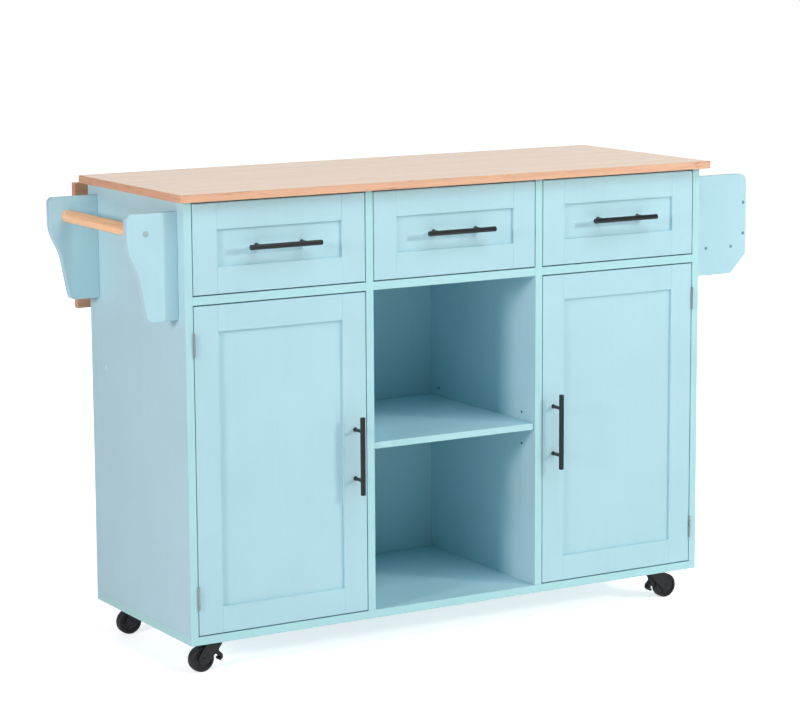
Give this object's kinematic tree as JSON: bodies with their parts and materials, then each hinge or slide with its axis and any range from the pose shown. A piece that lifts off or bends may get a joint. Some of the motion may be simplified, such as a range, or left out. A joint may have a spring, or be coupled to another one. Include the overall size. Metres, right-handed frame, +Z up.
{
  "type": "kitchen island cart",
  "caption": "Rolling kitchen island with drawers, cupboards, an open bay, a folding back leaf, a towel rail and a spice rack.",
  "frame": {"origin": "middle of the whole object's footprint on the floor, leaf hanging", "axes": "+X to the right along the worktop, seen from the front; +Y to the back; +Z up"},
  "size_m": [1.415, 0.506, 0.92],
  "materials": {
    "worktop_wood": "satin lacquered beech",
    "painted_board": "satin paint on fibreboard",
    "drawer_board": "matte foil",
    "black_metal": "satin black",
    "slide_steel": "zinc plated",
    "hinge_nickel": "nickel plated",
    "catch_plastic": "matte",
    "rod_wood": "oiled",
    "bracket_steel": "powder coated white",
    "caster_steel": "black plated",
    "caster_plastic": "moulded",
    "wheel_tread": "moulded tread"
  },
  "bodies": {
    "root": {"worktop": "worktop_wood", "side_panel_left": "painted_board", "side_panel_right": "painted_board", "base_board": "painted_board", "partition_left": "painted_board", "partition_right": "painted_board", "drawer_dividers": "painted_board", "back_panel": "painted_board", "rear_rail": "painted_board", "shelf_middle": "painted_board", "cupboard_shelves": "painted_board", "shelf_pins": "slide_steel", "drawer_runners": "slide_steel", "door_catches": "catch_plastic", "hinge_cabinet_leaves": "hinge_nickel", "towel_bracket_front": "painted_board", "towel_bracket_rear": "painted_board", "towel_rod": "rod_wood", "spice_end_front": "painted_board", "spice_end_rear": "painted_board", "spice_bottom": "painted_board", "spice_rails": "painted_board", "leaf_bracket_plates": "bracket_steel", "leaf_bracket_pins": "bracket_steel", "caster_plates": "caster_steel", "cabinet_screws": "hinge_nickel"},
    "drawer_left": {"drawer_left_front": "painted_board", "drawer_left_box": "drawer_board", "drawer_left_handle": "black_metal", "drawer_left_slides": "slide_steel"},
    "drawer_middle": {"drawer_middle_front": "painted_board", "drawer_middle_box": "drawer_board", "drawer_middle_handle": "black_metal", "drawer_middle_slides": "slide_steel"},
    "drawer_right": {"drawer_right_front": "painted_board", "drawer_right_box": "drawer_board", "drawer_right_handle": "black_metal", "drawer_right_slides": "slide_steel"},
    "door_left": {"door_left_frame": "painted_board", "door_left_panel": "painted_board", "door_left_handle": "black_metal", "door_left_fittings": "hinge_nickel"},
    "door_right": {"door_right_frame": "painted_board", "door_right_panel": "painted_board", "door_right_handle": "black_metal", "door_right_fittings": "hinge_nickel"},
    "leaf": {"drop_leaf": "worktop_wood", "leaf_arms": "bracket_steel"},
    "brace_left": {"leaf_brace_left": "bracket_steel"},
    "brace_right": {"leaf_brace_right": "bracket_steel"},
    "swivel_front_left": {"caster_fork_front_left": "caster_plastic"},
    "wheel_front_left": {"caster_wheel_front_left": "wheel_tread"},
    "swivel_front_right": {"caster_fork_front_right": "caster_plastic"},
    "wheel_front_right": {"caster_wheel_front_right": "wheel_tread"},
    "swivel_rear_left": {"caster_fork_rear_left": "caster_plastic"},
    "wheel_rear_left": {"caster_wheel_rear_left": "wheel_tread"},
    "swivel_rear_right": {"caster_fork_rear_right": "caster_plastic"},
    "wheel_rear_right": {"caster_wheel_rear_right": "wheel_tread"},
    "pedal_front_left": {"brake_pedal_front_left": "caster_plastic"},
    "pedal_front_right": {"brake_pedal_front_right": "caster_plastic"}
  },
  "joints": [
    {"name": "drawer_left_slide", "type": "slide", "parent": "root", "child": "drawer_left", "axis": [0, -1, 0], "range_m": [0, 0.28]},
    {"name": "drawer_middle_slide", "type": "slide", "parent": "root", "child": "drawer_middle", "axis": [0, -1, 0], "range_m": [0, 0.28]},
    {"name": "drawer_right_slide", "type": "slide", "parent": "root", "child": "drawer_right", "axis": [0, -1, 0], "range_m": [0, 0.28]},
    {"name": "door_left_hinge", "type": "hinge", "parent": "root", "child": "door_left", "pos_m": [-0.5885, -0.2204, 0.366], "axis": [0, 0, -1], "range_deg": [0, 110]},
    {"name": "door_right_hinge", "type": "hinge", "parent": "root", "child": "door_right", "pos_m": [0.5495, -0.2204, 0.366], "axis": [0, 0, 1], "range_deg": [0, 110]},
    {"name": "leaf_hinge", "type": "hinge", "parent": "root", "child": "leaf", "pos_m": [-0.0195, 0.2295, 0.8965], "axis": [1, 0, 0], "range_deg": [0, 90]},
    {"name": "brace_left_hinge", "type": "hinge", "parent": "root", "child": "brace_left", "pos_m": [-0.3995, 0.2295, 0.8265], "axis": [1, 0, 0], "range_deg": [0, 124.07]},
    {"name": "brace_right_hinge", "type": "hinge", "parent": "root", "child": "brace_right", "pos_m": [0.3605, 0.2295, 0.8265], "axis": [1, 0, 0], "range_deg": [0, 124.07]},
    {"name": "swivel_front_left_turn", "type": "hinge", "parent": "root", "child": "swivel_front_left", "pos_m": [-0.5375, -0.168, 0.056], "axis": [0, 0, 1], "continuous": true},
    {"name": "wheel_front_left_roll", "type": "hinge", "parent": "swivel_front_left", "child": "wheel_front_left", "pos_m": [-0.5615, -0.168, 0.025], "axis": [0, 1, 0], "continuous": true},
    {"name": "swivel_front_right_turn", "type": "hinge", "parent": "root", "child": "swivel_front_right", "pos_m": [0.4985, -0.168, 0.056], "axis": [0, 0, 1], "continuous": true},
    {"name": "wheel_front_right_roll", "type": "hinge", "parent": "swivel_front_right", "child": "wheel_front_right", "pos_m": [0.5225, -0.168, 0.025], "axis": [0, 1, 0], "continuous": true},
    {"name": "swivel_rear_left_turn", "type": "hinge", "parent": "root", "child": "swivel_rear_left", "pos_m": [-0.5375, 0.156, 0.056], "axis": [0, 0, 1], "continuous": true},
    {"name": "wheel_rear_left_roll", "type": "hinge", "parent": "swivel_rear_left", "child": "wheel_rear_left", "pos_m": [-0.5615, 0.156, 0.025], "axis": [0, 1, 0], "continuous": true},
    {"name": "swivel_rear_right_turn", "type": "hinge", "parent": "root", "child": "swivel_rear_right", "pos_m": [0.4985, 0.156, 0.056], "axis": [0, 0, 1], "continuous": true},
    {"name": "wheel_rear_right_roll", "type": "hinge", "parent": "swivel_rear_right", "child": "wheel_rear_right", "pos_m": [0.5225, 0.156, 0.025], "axis": [0, 1, 0], "continuous": true},
    {"name": "pedal_front_left_press", "type": "hinge", "parent": "swivel_front_left", "child": "pedal_front_left", "pos_m": [-0.5305, -0.168, 0.047], "axis": [0, 1, 0], "range_deg": [0, 8]},
    {"name": "pedal_front_right_press", "type": "hinge", "parent": "swivel_front_right", "child": "pedal_front_right", "pos_m": [0.4915, -0.168, 0.047], "axis": [0, -1, 0], "range_deg": [0, 8]}
  ],
  "couplings": [
    {"joint": "brace_left_hinge", "follows": "leaf_hinge", "ratio": 1.3784},
    {"joint": "brace_right_hinge", "follows": "leaf_hinge", "ratio": 1.3784}
  ]
}
